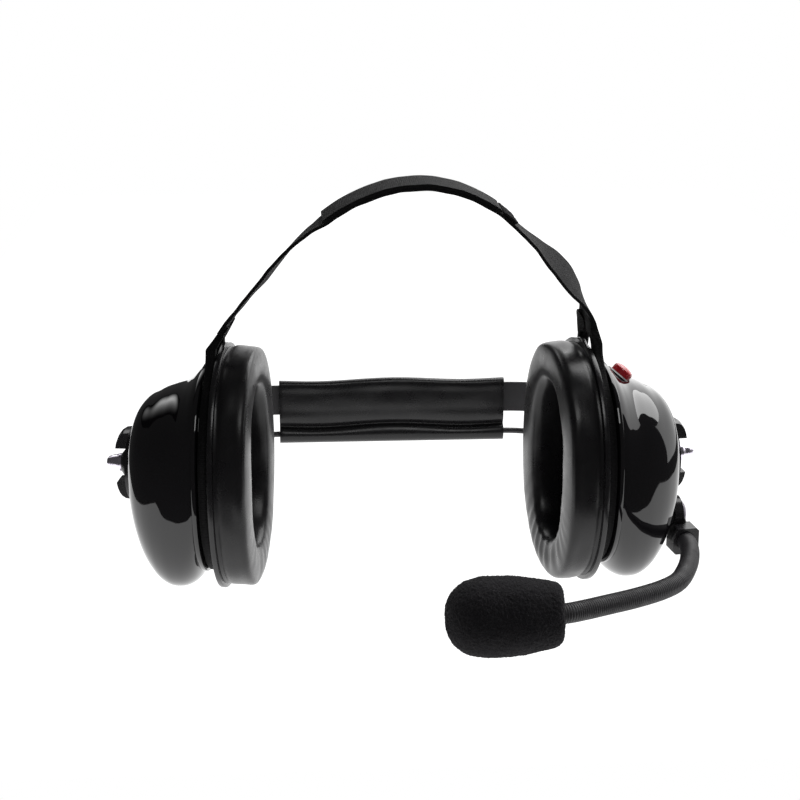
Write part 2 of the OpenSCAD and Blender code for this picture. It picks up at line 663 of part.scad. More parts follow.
band_center();
band_sleeve();
band_foam();
center_lead();
for (side = SIDES) {
    band_arm(side);
    pivot_hub(side);
    pivot_stud(side);
    pivot_washer(side);
    acorn_nut(side);
    lock_nut(side);
    dome(side);
    seal_plate(side);
    ear_seal(side);
    ear_foam(side);
    speaker_bracket(side);
    speaker_frame(side);
    speaker_cone(side);
    speaker_magnet(side);
    strap_loop(side);
    plate_screws(side);
    lead_gland(side);
    lead(side);
}
strap_top_layer();
strap_under_layer();
strap_hook_patch();
left_strap_leg();
right_strap_leg();
talk_button();
talk_bezel();
talk_switch();
circuit_board();
cord_inlet_gland();
boom_base();
boom_swivel_block();
boom_pivot_cap();
gooseneck_root();
gooseneck_tip();
mic_housing();
mic_capsule();
windscreen();
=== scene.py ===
"""Looks of the communication headset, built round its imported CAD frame.

Lengths in the tables and functions below are millimetres; meshes are made in metres.
+X is the wearer's left, -Y is forward (the camera's side) and +Z is up.
"""

import json
import math

import bmesh
import bpy
import numpy as np
from mathutils import Matrix, Vector, noise


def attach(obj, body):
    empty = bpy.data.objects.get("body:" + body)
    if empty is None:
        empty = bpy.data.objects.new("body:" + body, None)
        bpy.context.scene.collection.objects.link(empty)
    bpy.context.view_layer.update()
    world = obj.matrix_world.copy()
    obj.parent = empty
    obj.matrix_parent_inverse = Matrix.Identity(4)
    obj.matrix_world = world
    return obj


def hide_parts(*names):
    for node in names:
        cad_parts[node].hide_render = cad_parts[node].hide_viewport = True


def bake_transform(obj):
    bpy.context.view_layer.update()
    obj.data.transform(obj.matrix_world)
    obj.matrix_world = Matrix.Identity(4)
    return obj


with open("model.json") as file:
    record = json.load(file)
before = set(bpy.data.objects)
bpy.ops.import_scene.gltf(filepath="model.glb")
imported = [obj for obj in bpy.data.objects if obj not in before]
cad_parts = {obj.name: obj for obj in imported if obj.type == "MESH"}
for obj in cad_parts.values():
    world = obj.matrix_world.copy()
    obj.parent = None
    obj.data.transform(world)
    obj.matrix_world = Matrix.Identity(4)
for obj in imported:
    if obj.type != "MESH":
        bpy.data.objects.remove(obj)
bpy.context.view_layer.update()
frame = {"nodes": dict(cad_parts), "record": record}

# ---------------------------------------------------------------- measures, most of them the CAD's

MM = 0.001
TOE = math.radians(8.5)  # how far each cup's opening is turned to the front
FACE_X = 64.75  # middle of the headset to a cup's own origin
BAND_Y = 101.0  # middle of the spring strips behind the head
HINGE_X = 55.5  # end of the rear sleeve, where a strip starts to bend
STRIP_X = 57.0  # cup's origin to the strip on its stud
STRIP_H, STRIP_T = 15.0, 1.0
BOOM_R = 4.2
LEAD_R = 1.4
ROUND_N = 2.2  # squareness of the ovals of seals, plates, pads and loops
DOME_N = 2.4  # squareness of the domes' ovals
WALL = 2.5  # dome's wall
SEAL_T = 12.0  # stations from the cup's origin outward: seal's back, groove and flange
GROOVE_X = 14.5
FLANGE_X = 20.0
COLLAR = (42.0, -42.0, 33.0)  # top, bottom and half width of the dome's collar in the groove
# Dome outline past its flange: station, top, bottom, half width. Its upper slope is a little
# fuller than the CAD's.
DOME = [[22.2, 45.4, -46.5, 37.5], [24, 43.7, -49.5, 37.8], [27, 40.4, -52.3, 37.8],
        [31, 37.2, -54, 37.4], [36, 35.4, -54, 36.4], [40, 34, -52, 35], [44, 32, -47.5, 33],
        [47, 30.5, -42.5, 30.8], [49.5, 28.3, -36, 28.3], [51.3, 25.5, -29.5, 25.5],
        [52.5, 22, -23.5, 22.5], [53, 18, -17.5, 19]]
# Middle line of the strap over the head: x, z
STRAP = [[-62, 80], [-45, 101], [-34, 110.3], [-20, 118.6], [-6, 123.4], [8, 124.8],
         [22, 122.4], [35, 116.8], [46, 108.8], [55, 99.8], [65, 89.6]]
# Strap legs: x, y, z, then width, thickness and twist
LEFT_LEG = [[47, 0, 107.2, 23, 1.4, 0], [54.7, 0, 99.6, 23, 1.4, 3], [64, 0.3, 90.6, 23, 1.4, 14],
            [71.5, 0.9, 82, 23, 1.4, 17], [76.8, 1.5, 74.5, 22.5, 1.4, 8],
            [79.8, 2.1, 68, 22, 1.6, -3], [80.3, 2.3, 62.6, 21.2, 2.2, -9]]
RIGHT_LEG = [[-35.6, 0, 108.6, 23, 1.4, 3], [-45, 0, 101, 23, 1.4, 6],
             [-53.4, 0.2, 92.4, 23, 1.4, 10], [-61.6, 0.6, 82, 23, 1.4, 11],
             [-68.6, 1.1, 73.8, 22.5, 1.4, 9], [-74.6, 1.6, 66.6, 22, 1.6, 9],
             [-77.8, 1.9, 61.4, 21.2, 2.2, 9]]
# Height above which the cup's webbing leans inward, and its lean in degrees
LOOP_BEND_Z = 55.2
LOOP_LEAN = {"left": 12, "right": 34}
# Routes of the side lead and of the boom, with the boom's point where its two halves meet
LEAD = [[50, 100.5, -17.4], [55.8, 100.5, -17.4], [62, 100.2, -17.4], [69, 98.5, -17.4],
        [76, 95, -17.4], [82, 89.5, -17.4], [86.5, 82, -17.4], [89, 73, -17.3],
        [90, 64, -17.1], [90.6, 54, -17], [90.5, 49.5, -17], [89.6, 43.5, -17]]
BOOM = [[123.1, -11.5, -33.2], [124, -17.4, -33.2], [123.8, -25, -33.6], [121.8, -35, -34.5],
        [118, -46, -35], [110.2, -61.3, -34.8], [103.4, -68.3, -34.5], [92, -76.3, -34.2],
        [77, -85, -33.6], [66, -91, -33.2], [60, -94, -32.9], [57, -94.9, -32.8]]
BOOM_MEET = 5
MIC_AT = np.array([34, -95, -33.2])
MIC_PITCH = math.radians(1)
FOAM_LEN, FOAM_D, FOAM_N = 46.5, 32.0, 2.4  # windscreen's length, diameter and squareness


# ---------------------------------------------------------------- camera


def make_camera():
    """Pinhole camera in front of the part, a little to one side and looking slightly down."""
    turn, tilt, distance = math.radians(3.4), math.radians(16.6), 0.8
    ahead = Vector((math.sin(turn) * math.cos(tilt), math.cos(turn) * math.cos(tilt), -math.sin(tilt)))
    right = Vector((math.cos(turn), -math.sin(turn), 0))
    up = right.cross(ahead)
    data = bpy.data.cameras.new("camera")
    data.lens, data.sensor_width = 81.36, 36
    data.clip_start, data.clip_end = 0.01, 20
    cam = bpy.data.objects.new("camera", data)
    bpy.context.scene.collection.objects.link(cam)
    cam.matrix_world = Matrix((right, up, -ahead)).transposed().to_4x4()
    looked_at = right * -0.0018 + up * 0.0279
    cam.location = looked_at - ahead * distance
    bpy.context.scene.camera = cam


make_camera()


# ---------------------------------------------------------------- mesh helpers


def unit(v):
    """Vectors scaled to length 1."""
    v = np.asarray(v, float)
    return v / np.linalg.norm(v, axis=-1, keepdims=True)


def on_cup(side, points):
    """Points given in a cup's own frame (X outward, Y rearward, Z up), in the row frame."""
    p = np.asarray(points, float)
    c, s = math.cos(TOE), math.sin(TOE)
    out = np.stack([FACE_X + p[..., 0] * c - p[..., 1] * s, p[..., 0] * s + p[..., 1] * c,
                    p[..., 2]], -1)
    if side == "right":
        out[..., 0] *= -1
    return out


def mirrored(points):
    """Points moved to the other side of the head."""
    return np.asarray(points, float) * [-1, 1, 1]


def smooth_line(points, n=8):
    """A smooth curve through rows of numbers, n steps between each two."""
    p = np.asarray(points, float)
    h = np.linalg.norm(np.diff(p[:, :3], axis=0), axis=1)
    slope = np.diff(p, axis=0) / h[:, None]
    m = np.empty_like(p)
    m[0], m[-1] = slope[0], slope[-1]
    m[1:-1] = (slope[1:] * h[:-1, None] + slope[:-1] * h[1:, None]) / (h[1:] + h[:-1])[:, None]
    t = np.linspace(0, 1, n, endpoint=False)[:, None]
    rows = [(2 * t**3 - 3 * t**2 + 1) * p[i] + (t**3 - 2 * t**2 + t) * h[i] * m[i]
            + (3 * t**2 - 2 * t**3) * p[i + 1] + (t**3 - t**2) * h[i] * m[i + 1]
            for i in range(len(h))]
    return np.vstack([*rows, p[-1:]])


def even(points, count, closed=False):
    """count points at even distances along a line, measured on its first three columns."""
    p = np.asarray(points, float)
    if closed:
        p = np.vstack([p, p[:1]])
    d = np.r_[0, np.cumsum(np.linalg.norm(np.diff(p[:, :3], axis=0), axis=1))]
    t = np.linspace(0, d[-1], count + 1 if closed else count)
    out = np.stack([np.interp(t, d, p[:, k]) for k in range(p.shape[1])], 1)
    return out[:-1] if closed else out


def length_of(points):
    """Length of a line of points."""
    return float(np.linalg.norm(np.diff(np.asarray(points)[:, :3], axis=0), axis=1).sum())


def oval(top, bottom, half_w, n, count):
    """Points (y, z) round an oval, evenly spaced, from its rear side upward."""
    a = np.linspace(0, 2 * math.pi, 720, endpoint=False)
    y = half_w * np.sign(np.cos(a)) * np.abs(np.cos(a)) ** (2 / n)
    z = (top + bottom) / 2 + (top - bottom) / 2 * np.sign(np.sin(a)) * np.abs(np.sin(a)) ** (2 / n)
    return even(np.stack([y, z, 0 * y], 1), count, closed=True)[:, :2]


def grid_faces(rows, cols, wrap_rows=False, cap_first=False, cap_last=False):
    """Quads between closed rings. The rings form a closed ring themselves or get caps."""
    faces = []
    for i in range(rows if wrap_rows else rows - 1):
        for j in range(cols):
            a, b = i * cols, ((i + 1) % rows) * cols
            k = (j + 1) % cols
            faces.append((a + j, b + j, b + k, a + k))
    if cap_first:
        faces.append(tuple(range(cols)))
    if cap_last:
        faces.append(tuple(range((rows - 1) * cols, rows * cols)))
    return faces


def piece(name, verts, faces, mat, sharp=50, weave=None):
    """A mesh object from vertices in millimetres. weave holds (across, along) in millimetres."""
    mesh = bpy.data.meshes.new(name)
    mesh.from_pydata((np.asarray(verts, float).reshape(-1, 3) * MM).tolist(), [], faces)
    bm = bmesh.new()
    bm.from_mesh(mesh)
    bmesh.ops.recalc_face_normals(bm, faces=bm.faces)
    bm.to_mesh(mesh)
    bm.free()
    mesh.shade_smooth()
    mesh.set_sharp_from_angle(angle=math.radians(sharp))
    mesh.materials.append(mat)
    if weave is not None:
        flat = np.zeros((len(mesh.vertices), 3), np.float32)
        flat[:, :2] = np.asarray(weave, float).reshape(-1, 2)
        mesh.attributes.new("weave", "FLOAT_VECTOR", "POINT").data.foreach_set("vector", flat.ravel())
    obj = bpy.data.objects.new(name, mesh)
    bpy.context.scene.collection.objects.link(obj)
    return obj


def loft(name, rings, slot, sharp=50, weave=None, caps=(True, True)):
    """A piece whose skin runs through rings, with a cap on its first and its last ring."""
    faces = grid_faces(len(rings), len(rings[0]), cap_first=caps[0], cap_last=caps[1])
    return piece(name, rings, faces, MATERIALS[slot], sharp=sharp, weave=weave)


def put(obj, nodes, body, start=None):
    """Parents a finished piece to its body's empty and hides the CAD nodes it stands for. body is one body's
    name, or two that the piece lies between; with two, the piece is only fixed in place where it is.
    """
    if start is None:
        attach(obj, body)
    else:
        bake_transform(obj)
    if nodes:
        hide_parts(*nodes)


def rough_up(verts, normals, depth, size, seed):
    """Verts moved along their normals by smooth noise of that depth and feature size."""
    v = np.asarray(verts, float)
    n = np.array([noise.noise(Vector(p / size) + Vector((seed, 0, 0))) for p in v.reshape(-1, 3)])
    return v + np.asarray(normals) * (n * depth).reshape(v.shape[:-1] + (1,))


def tube(path, radius, sides):
    """Rings of a round tube along a path; radius is one number or one for each point."""
    p = np.asarray(path, float)[:, :3]
    d = unit(np.gradient(p, axis=0))
    u = unit(np.cross(d, [0.0, 0.0, 1.0]))
    v = np.cross(u, d)
    a = np.linspace(0, 2 * math.pi, sides, endpoint=False)
    r = np.broadcast_to(np.asarray(radius, float), (len(p),))[:, None, None]
    return p[:, None] + r * (u[:, None] * np.cos(a)[None, :, None] + v[:, None] * np.sin(a)[None, :, None])


def ribbon(rows, across, wave, seed):
    """Rings of webbing along rows of x, y, z, width, thickness, twist, with its weave coordinates."""
    p = rows[:, :3]
    d = unit(np.gradient(p, axis=0))
    s = unit(np.cross(d, unit(np.cross([0.0, 1.0, 0.0], d))))
    n = np.cross(d, s)
    t = np.radians(rows[:, 5])[:, None]
    w, o = s * np.cos(t) + n * np.sin(t), n * np.cos(t) - s * np.sin(t)
    along = np.r_[0, np.cumsum(np.linalg.norm(np.diff(p, axis=0), axis=1))]
    flat = np.linspace(-1, 1, across)
    sect = [*[(x, 1.0) for x in flat], (1.0, 0.0), *[(x, -1.0) for x in flat[::-1]], (-1.0, 0.0)]
    verts, weave = [], []
    for i in range(len(p)):
        half_w, half_t = rows[i, 3] / 2, rows[i, 4] / 2
        lift = wave * noise.noise(Vector((along[i] / 9.0, seed, 0.3)))
        for x, y in sect:
            inset = 0.3 * half_t if y else 0.0
            ripple = 0.5 * wave * noise.noise(Vector((along[i] / 5.0, x * 1.5 + seed, 2.0)))
            across_mm = x * (half_w - inset)
            verts.append(p[i] + w[i] * across_mm + o[i] * (y * half_t + lift + ripple))
            weave.append((across_mm + (0.4 * half_t * y if abs(x) == 1 else 0), along[i]))
    shape = len(p), len(sect)
    return np.array(verts).reshape(*shape, 3), np.array(weave).reshape(*shape, 2)


# ---------------------------------------------------------------- materials


class Shader:
    """A material with one Principled shader, and short ways to add nodes to it."""

    def __init__(self, name, **sockets):
        """sockets holds the Principled shader's plain values by name."""
        self.mat = bpy.data.materials.new(name)
        self.mat.use_nodes = True
        self.tree = self.mat.node_tree
        self.tree.nodes.clear()
        out = self.tree.nodes.new("ShaderNodeOutputMaterial")
        self.bsdf = self.node("ShaderNodeBsdfPrincipled", sockets)
        self.tree.links.new(self.bsdf.outputs[0], out.inputs[0])
        self.where = self.node("ShaderNodeTexCoord").outputs["Object"]

    def node(self, kind, inputs=None, **props):
        """A new node with its properties and inputs set."""
        n = self.tree.nodes.new(kind)
        for key, value in props.items():
            setattr(n, key, value)
        for key, value in (inputs or {}).items():
            self.set(n.inputs[key], value)
        return n

    def set(self, socket, value):
        """Links a socket to another node's output, or gives it a plain value."""
        if isinstance(value, bpy.types.NodeSocket):
            self.tree.links.new(value, socket)
        else:
            socket.default_value = value

    def math(self, op, a, b=0.0):
        """One step of arithmetic."""
        return self.node("ShaderNodeMath", {0: a, 1: b}, operation=op).outputs[0]

    def noise(self, size_mm, detail=2.0, where=None, rough=0.5):
        """Smooth noise, 0 to 1, with features of about that size."""
        return self.node("ShaderNodeTexNoise", {"Vector": where or self.where, "Scale": 1000.0 / size_mm,
                         "Detail": detail, "Roughness": rough}).outputs["Fac"]

    def cells(self, size_mm, feature="F1"):
        """Round cells of about that size, 0 in the middle of each."""
        return self.node("ShaderNodeTexVoronoi", {"Vector": self.where, "Scale": 1000.0 / size_mm},
                         feature=feature).outputs["Distance"]

    def stretched(self, scale, turn=(0, 0, 0)):
        """Object coordinates, turned and scaled, for hairlines."""
        inputs = {"Vector": self.where, "Rotation": turn, "Scale": scale}
        return self.node("ShaderNodeMapping", inputs).outputs[0]

    def spread(self, value, low, high, a=0.3, b=0.7):
        """value's range a to b, mapped to low to high."""
        return self.node("ShaderNodeMapRange", {0: value, 1: a, 2: b, 3: low, 4: high}).outputs[0]

    def colour(self, factor, a, b):
        """A mix of two colours. Each is a socket or three numbers."""
        a, b = (v if isinstance(v, bpy.types.NodeSocket) else (*v, 1) for v in (a, b))
        return self.node("ShaderNodeMix", {0: factor, 6: a, 7: b}, data_type="RGBA").outputs[2]

    def edges(self, low=0.52, high=0.6):
        """1 on worn convex edges, broken up by noise."""
        worn = self.node("ShaderNodeNewGeometry").outputs["Pointiness"]
        worn = self.spread(worn, 0, 1, low, high)
        return self.math("MULTIPLY", worn, self.spread(self.noise(2.5, 4), 0, 1, 0.4, 0.65))

    def finish(self, colour, rough, height, depth_mm):
        """Plugs in the colour, the roughness and a bump of that depth, and gives the material."""
        self.set(self.bsdf.inputs["Base Color"], colour)
        self.set(self.bsdf.inputs["Roughness"], rough)
        bump = self.node("ShaderNodeBump", {"Height": height, "Distance": depth_mm * MM, "Strength": 1.0})
        self.set(self.bsdf.inputs["Normal"], bump.outputs[0])
        return self.mat


def grey(v):
    """A black or grey with the slight violet cast that carbon-black plastics have."""
    return (1.03 * v, 0.97 * v, 1.1 * v)


def moulded(name, shade, rough, grain_mm, depth, coat=0.0, worn=0.05):
    """Moulded plastic: fine spark-eroded grain, faint flow marks and edges rubbed a little lighter."""
    s = Shader(name, **{"IOR": 1.5, "Coat Weight": coat, "Coat Roughness": 0.08})
    marks = s.noise(9, 3)
    body = s.colour(marks, grey(shade * 0.85), grey(shade * 1.2))
    body = s.colour(s.edges(), body, grey(shade + worn))
    grain = s.math("ADD", s.noise(grain_mm, 3), s.math("MULTIPLY", s.noise(4, 2), 0.3))
    return s.finish(body, s.spread(s.noise(6, 4), rough * 0.8, rough * 1.25), grain, depth)


def gloss_shell():
    """Polished black moulding: a nearly mirror surface with faint hairlines, dust and flow marks."""
    s = Shader("dome_gloss", **{"IOR": 1.52, "Coat Weight": 0.35, "Coat Roughness": 0.03})
    dust = s.spread(s.noise(0.5, 6, rough=0.7), 0, 1, 0.66, 0.8)
    body = s.colour(s.noise(14, 2), (0.0055, 0.005, 0.006), (0.0085, 0.0078, 0.009))
    body = s.colour(s.math("MULTIPLY", dust, 0.12), body, (0.05, 0.05, 0.05))
    hairlines = s.noise(5, 8, s.stretched((1, 14, 1), (0.4, 0.9, 0.2)))
    rough = s.math("ADD", s.spread(s.noise(18, 3), 0.03, 0.07), s.spread(hairlines, 0, 0.05, 0.62, 0.75))
    return s.finish(body, rough, s.noise(16, 1), 0.012)


def vinyl(name, shade, rough):
    """Soft black vinyl: pressed pores, fine creases, a little colour drift and smoother patches."""
    s = Shader(name, **{"IOR": 1.42, "Sheen Weight": 0.03, "Sheen Roughness": 0.5})
    pores = s.math("ADD", s.cells(0.75), s.math("MULTIPLY", s.noise(0.35, 3), 0.6))
    creases = s.math("MULTIPLY", s.cells(3.2, "SMOOTH_F1"), 0.5)
    body = s.colour(s.noise(11, 3), grey(shade * 0.8), grey(shade * 1.25))
    rubbed = s.spread(s.noise(7, 4), rough * 0.85, rough * 1.2)
    return s.finish(body, rubbed, s.math("ADD", pores, creases), 0.018)


def foam(name, shade, cell_mm, depth, rough=0.95):
    """Open-celled foam: small pits between struts, with painted shade darkening the pits and the struts left
    lighter.
    """
    s = Shader(name, **{"IOR": 1.3, "Specular IOR Level": 0.2, "Sheen Weight": 0.05, "Sheen Roughness": 0.7})
    pits = s.cells(cell_mm)
    fine = s.noise(cell_mm * 0.6, 4, rough=0.7)
    # Painted shade: the colour darkens towards the middle of each pit, where the holes lie in shade, broken
    # up by fine noise.
    body = s.colour(s.math("MULTIPLY", pits, fine), grey(shade * 0.4), grey(shade * 2.4))
    return s.finish(body, rough, s.math("ADD", pits, fine), depth)


def woven(name, shade, thread_mm, rough, fuzz):
    """Woven webbing: threads pass over and under each other along the piece's own weave coordinates, with
    painted light on the thread tops and painted shade between them.
    """
    s = Shader(name, **{"IOR": 1.45, "Specular IOR Level": 0.2, "Sheen Weight": fuzz,
                        "Sheen Roughness": 0.45})
    uv = s.node("ShaderNodeAttribute", attribute_name="weave").outputs["Vector"]
    axes = s.node("ShaderNodeSeparateXYZ", {0: uv}).outputs
    across, along = s.math("DIVIDE", axes[0], thread_mm), s.math("DIVIDE", axes[1], thread_mm * 0.8)
    over = s.math("MODULO", s.math("ADD", s.math("FLOOR", across), s.math("FLOOR", along)), 2.0)
    over = s.math("ABSOLUTE", over)
    warp = s.math("ABSOLUTE", s.math("SINE", s.math("MULTIPLY", across, math.pi)))
    weft = s.math("ABSOLUTE", s.math("SINE", s.math("MULTIPLY", along, math.pi)))
    bed = s.math("MULTIPLY", warp, s.math("ADD", s.math("MULTIPLY", weft, 0.4), 0.6))
    top = s.math("MULTIPLY", weft, s.math("ADD", s.math("MULTIPLY", warp, 0.4), 0.6))
    height = s.node("ShaderNodeMix", {0: over, 2: bed, 3: top}).outputs[0]
    fibre = s.noise(0.25, 3)
    worn = s.noise(8, 4)
    # Painted light and shade: raised thread tops are coloured lighter and the low bed between them darker,
    # varied by patches of wear.
    weave_painted_light = s.math("MULTIPLY", height, s.spread(worn, 0.7, 1.2))
    body = s.colour(weave_painted_light, grey(shade * 0.25), grey(shade * 1.7))
    relief = s.math("ADD", height, s.math("MULTIPLY", fibre, 0.3))
    return s.finish(body, s.spread(fibre, rough * 0.9, rough * 1.1), relief, 0.16)


def metal(name, shade, rough, brushed=(1, 1, 1)):
    """Plated or polished metal with hairline scratches and dulled patches."""
    s = Shader(name, **{"Metallic": 1.0})
    scratch = s.noise(0.6, 8, s.stretched(brushed), 0.65)
    body = s.colour(s.noise(3, 4), grey(shade * 0.85), grey(shade * 1.05))
    dulled = s.spread(s.noise(2, 3), rough * 0.7, rough * 1.4)
    return s.finish(body, s.math("ADD", s.spread(scratch, 0, 0.12, 0.5, 0.8), dulled), scratch, 0.004)


def coated(name, shade, rough):
    """Painted spring steel: a fine, slightly pebbled coat that shows a little steel on its edges."""
    s = Shader(name, **{"IOR": 1.5})
    body = s.colour(s.noise(5, 4), grey(shade * 0.8), grey(shade * 1.2))
    body = s.colour(s.edges(0.55, 0.7), body, (0.3, 0.3, 0.31))
    return s.finish(body, s.spread(s.noise(1.2, 4), rough * 0.85, rough * 1.2), s.noise(0.7, 4), 0.012)


def button_cap():
    """Glossy red cap with a little light scattered inside it."""
    s = Shader("button_red", **{"IOR": 1.5, "Coat Weight": 0.5, "Coat Roughness": 0.06,
                                "Subsurface Weight": 0.08})
    s.bsdf.inputs["Subsurface Radius"].default_value = (0.002, 0.0005, 0.0005)
    body = s.colour(s.noise(4, 3), (0.42, 0.008, 0.016), (0.6, 0.018, 0.03))
    return s.finish(body, s.spread(s.noise(2.5, 4), 0.16, 0.3), s.noise(0.6, 3), 0.008)


def circuit():
    """Green solder mask with a grid of lighter traces."""
    s = Shader("board_green", **{"IOR": 1.5})
    grid = s.node("ShaderNodeTexBrick", {"Vector": s.where, "Scale": 260.0, "Color1": (0.01, 0.09, 0.04, 1),
                  "Color2": (0.012, 0.07, 0.035, 1), "Mortar": (0.03, 0.2, 0.09, 1), "Mortar Size": 0.03})
    return s.finish(grid.outputs["Color"], s.spread(s.noise(2, 3), 0.3, 0.5), grid.outputs["Fac"], 0.03)


MATERIALS = {
    "dome_gloss": gloss_shell(),
    "black_plastic": moulded("black_plastic", 0.009, 0.24, 0.35, 0.01, worn=0.008),
    "grey_plastic": moulded("grey_plastic", 0.42, 0.32, 0.35, 0.01, coat=0.2),
    "seal_vinyl": vinyl("seal_vinyl", 0.0085, 0.3),
    "sleeve_vinyl": vinyl("sleeve_vinyl", 0.0075, 0.28),
    "soft_foam": foam("soft_foam", 0.012, 0.9, 0.25),
    "windscreen_foam": foam("windscreen_foam", 0.021, 0.55, 0.3),
    "webbing": woven("webbing", 0.0042, 1.05, 0.75, 0.02),
    "hook_fabric": foam("hook_fabric", 0.01, 0.5, 0.5, 0.85),
    "spring_steel": coated("spring_steel", 0.022, 0.42),
    "zinc_steel": metal("zinc_steel", 0.6, 0.24, (1, 1, 6)),
    "chrome_nut": metal("chrome_nut", 0.9, 0.2, (8, 1, 1)),
    "boom_rubber": moulded("boom_rubber", 0.02, 0.5, 0.3, 0.02, worn=0.03),
    "lead_jacket": moulded("lead_jacket", 0.016, 0.44, 0.3, 0.012),
    "button_red": button_cap(),
    "board_green": circuit(),
    "switch_plastic": moulded("switch_plastic", 0.06, 0.4, 0.3, 0.012),
    "speaker_frame": metal("speaker_frame", 0.25, 0.4),
    "speaker_cone": moulded("speaker_cone", 0.03, 0.5, 0.5, 0.03),
    "magnet": metal("magnet", 0.45, 0.35),
}
for sub in frame["record"]["subparts"]:
    cad = frame["nodes"][sub["node"]]
    cad.data.materials.clear()
    cad.data.materials.append(MATERIALS[sub["material_slot"]])


# ---------------------------------------------------------------- ear cups


def make_dome(side):
    """Glossy shell: collar, flange lip and a bowl whose lower half bulges, with its inside wall."""
    count = 176
    lip = [[GROOVE_X, *COLLAR], [FLANGE_X, *COLLAR], [FLANGE_X, 46.1, -46.1, 38.1],
           [20.15, 46.4, -46.4, 38.4], [20.5, 46.5, -46.5, 38.5], [21.5, 46.5, -46.5, 38.5],
           [21.9, 46.3, -46.5, 38.3], [22.05, 45.2, -46.5, 37.8]]
    face = [[53.02, 12, -13, 16], [53.02, 4, -4, 5]]
    outer = [*lip, *smooth_line(DOME, 7).tolist(), *face]
    floor = 50.5
    followed = [row for row in DOME if 26 < row[0] < 50]
    inner = [[GROOVE_X, *COLLAR], [24, *COLLAR], *followed, [floor, 22, -24, 24]]
    inner = [[x, t - WALL, b + WALL, w - WALL] for x, t, b, w in inner] + [[floor, 4, -4, 4]]
    rings = [np.insert(oval(t, b, w, DOME_N, count), 0, x, axis=1) for x, t, b, w in inner[::-1] + outer]
    dome = loft(f"{side}_dome_shell", on_cup(side, rings), "dome_gloss", sharp=38)
    put(dome, [f"{side}_dome"], f"{side}_cup")


def make_plate(side):
    """Seal's backing plate with rounded rims and a nub at its top and bottom."""
    count = 144
    near, far = 12.05, 14.45
    opening_z, opening_y, rim_z, rim_y = 37, 23, 53, 41
    lip, nub_half, nub_h = 1.5, 4.2, 1.1
    rim = [[near, 1], [12.2, 1.35], [12.7, lip], [13.8, lip], [14.3, 1.35], [far, 1]]
    rings = []
    for x, grow in [[near, 0], *rim, [far, 0]]:
        if grow == 0:
            ring = oval(opening_z, -opening_z, opening_y, ROUND_N, count)
        else:
            ring = oval(rim_z + grow, -rim_z - grow, rim_y + grow, ROUND_N, count)
            nub = np.exp(-((ring[:, 0] / nub_half) ** 4)) * nub_h
            ring[:, 1] += np.sign(ring[:, 1]) * nub * (grow / lip)
        rings.append(np.insert(ring, 0, x, axis=1))
    faces = grid_faces(len(rings), count, wrap_rows=True)
    plate = piece(f"{side}_seal_plate_rounded", on_cup(side, rings), faces, MATERIALS["black_plastic"])
    put(plate, [f"{side}_seal_plate"], f"{side}_cup")


# Ear seal's section: share of the half width across its rim, station outward, softness of its skin
SEAL_SECTION = [[-1, 11.9, 0], [-1.02, 8, 0.7], [-1.02, 4, 1], [-0.99, 1.6, 1], [-0.93, 0.1, 1],
                [-0.8, -1.0, 1], [-0.5, -1.8, 1], [-0.1, -2.1, 1], [0.35, -2.0, 1], [0.7, -1.5, 1],
                [0.88, -0.9, 1], [0.96, -0.1, 1], [1.0, 1.2, 1], [1.01, 4, 1], [1.01, 7, 0.8],
                [0.98, 9.6, 0.5], [0.93, 10.9, 0.2], [0.97, 11.9, 0]]
SEAL_HALF = 8.9  # half width of the rim, for even spacing along the section
FOLD_DEPTH = {"left": 0.55, "right": 0.16}
LUMP_SEED = {"left": 3, "right": 8}


def make_seal(side):
    """Vinyl ring over soft foam: crowned towards the head, welded to its plate, with slack folds low down."""
    count, rows = 208, 46
    mid_z, mid_y, reach_z, reach_y = 44.5, 31.5, 8.5, 9.5
    sect = even(smooth_line([[SEAL_HALF * c, x, 0, soft] for c, x, soft in SEAL_SECTION], 8), rows)
    c, soft = sect[:, :1] / SEAL_HALF, sect[:, 3:]
    rings = []
    for k, x in zip(c[:, 0], sect[:, 1]):
        ring = oval(mid_z + k * reach_z, -mid_z - k * reach_z, mid_y + k * reach_y, ROUND_N, count)
        rings.append(np.insert(ring, 0, x, axis=1))
    rings = np.array(rings)
    turn = np.arctan2(rings[:, :, 2], rings[:, :, 1])
    low = np.exp(-(((np.degrees(turn) + 90) / 42) ** 2))
    folds = np.sin(turn * 34 + 2.2 * np.sin(turn * 5)) * np.exp(-(((c + 0.1) / 0.62) ** 2))
    rings[:, :, 0] += soft * low * folds * FOLD_DEPTH[side]
    out = unit(rings[:, :, 1:])
    size, size_x, seed = 17, 9, LUMP_SEED[side]
    lumps = np.array([[noise.noise(Vector((y / size, z / size, x / size_x + seed))) for x, y, z in ring]
                      for ring in rings])
    rings[:, :, 1:] += out * (lumps * soft * 0.7)[..., None]
    rings[:, :, 0] += lumps * soft * 0.35
    faces = grid_faces(len(rings), count, wrap_rows=True)
    seal = piece(f"{side}_ear_seal_skin", on_cup(side, rings), faces, MATERIALS["seal_vinyl"], sharp=75)
    puff(seal, on_cup(side, [[SEAL_T, 0, 0]])[0], side)
    put(seal, [f"{side}_ear_seal"], f"{side}_cup")


def puff(obj, plate_centre, side):
    """Inflates an ear seal. It is held fully at its plate and less and less up to 4 mm from it."""
    outward = np.array([math.cos(TOE) * (1 if side == "left" else -1), math.sin(TOE), 0])
    rest = np.array([v.co for v in obj.data.vertices])
    depth = (plate_centre * MM - rest) @ outward
    held = np.clip(1 - depth / (4 * MM), 0, 1)
    inflate(obj, rest, held, pressure=1.6, cap=0.7)


def calmed(moved, obj, passes):
    """Each vertex's move averaged with its neighbours' so the broad bulges stay and fine wrinkles go."""
    edges = np.array([e.vertices[:] for e in obj.data.edges])
    ends, others = np.concatenate([edges, edges[:, ::-1]]).T
    links = np.bincount(ends, minlength=len(moved))[:, None]
    for _ in range(passes):
        near = np.stack([np.bincount(ends, moved[others, k], len(moved)) for k in range(3)], 1)
        moved = (moved + near / links) / 2
    return moved


